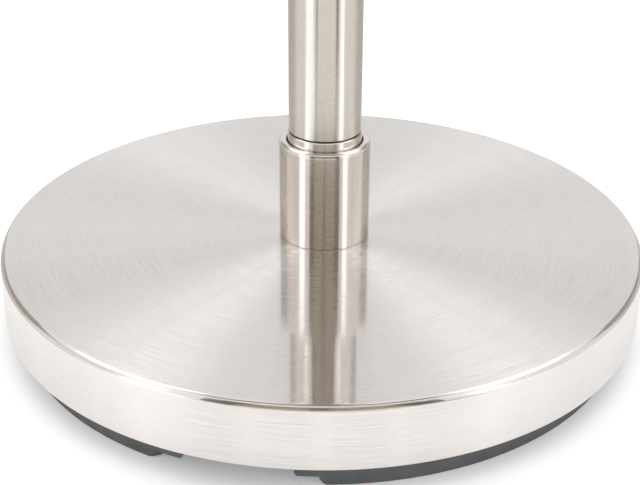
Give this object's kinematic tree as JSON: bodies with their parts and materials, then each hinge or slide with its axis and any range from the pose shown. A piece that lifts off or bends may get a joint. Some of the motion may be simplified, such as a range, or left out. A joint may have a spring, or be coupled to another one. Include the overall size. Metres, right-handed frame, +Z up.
{
  "type": "trumpet stand",
  "caption": "Free-standing pedestal stand: weighted round satin-nickel base, socket collar and tubular post that screws in, with a tapered felt-lined peg that enters a trumpet's bell.",
  "frame": {"origin": "on the floor, at the centre of the base", "axes": "+Z up along the post; the pictured front faces -Y and +X is to its right"},
  "size_m": [0.225, 0.225, 0.3849],
  "materials": {
    "satin_nickel_cover": "satin nickel plate on spun steel, brushed in circles",
    "satin_nickel_turned": "satin nickel plate on turned and drawn steel, brushed round the axis",
    "cast_ballast": "raw sand-cast iron",
    "black_plate": "black powder coat",
    "grey_rubber": "moulded matt dark grey rubber",
    "zinc_fittings": "bright zinc plate",
    "nylon": "natural nylon",
    "brass_insert": "machined brass",
    "black_plastic": "moulded black plastic with a fine grain",
    "black_felt": "pressed wool felt"
  },
  "bodies": {
    "base": {"base_shell": "satin_nickel_cover", "ballast_disc": "cast_ballast", "bottom_plate": "black_plate", "plate_screws": "zinc_fittings", "foot_ring": "grey_rubber", "collar": "satin_nickel_turned", "base_stud": "zinc_fittings", "clamp_nut": "zinc_fittings", "lock_washer": "zinc_fittings", "stud_nut": "zinc_fittings", "stud_washer": "zinc_fittings"},
    "lower_ring": {"thrust_ring": "nylon"},
    "post": {"post_bush": "satin_nickel_turned", "post_tube": "satin_nickel_turned", "post_plug": "satin_nickel_turned", "peg_stud": "zinc_fittings"},
    "upper_ring": {"peg_ring": "nylon"},
    "peg": {"peg_insert": "brass_insert", "bell_peg": "black_plastic", "felt_strips": "black_felt"}
  },
  "joints": [
    {"name": "post_lift", "type": "slide", "parent": "base", "child": "lower_ring", "axis": [0, 0, 1], "range_m": [0, 0.015]},
    {"name": "post_turn", "type": "hinge", "parent": "lower_ring", "child": "post", "pos_m": [0, 0, 0.0713], "axis": [0, 0, 1], "range_deg": [0, 3600]},
    {"name": "peg_lift", "type": "slide", "parent": "post", "child": "upper_ring", "axis": [0, 0, 1], "range_m": [0, 0.0125]},
    {"name": "peg_turn", "type": "hinge", "parent": "upper_ring", "child": "peg", "pos_m": [0, 0, 0.2169], "axis": [0, 0, 1], "range_deg": [0, 3600]}
  ],
  "couplings": [
    {"joint": "post_lift", "follows": "post_turn", "m_per_rad": 0.00023873},
    {"joint": "peg_lift", "follows": "peg_turn", "m_per_rad": 0.00019894}
  ]
}
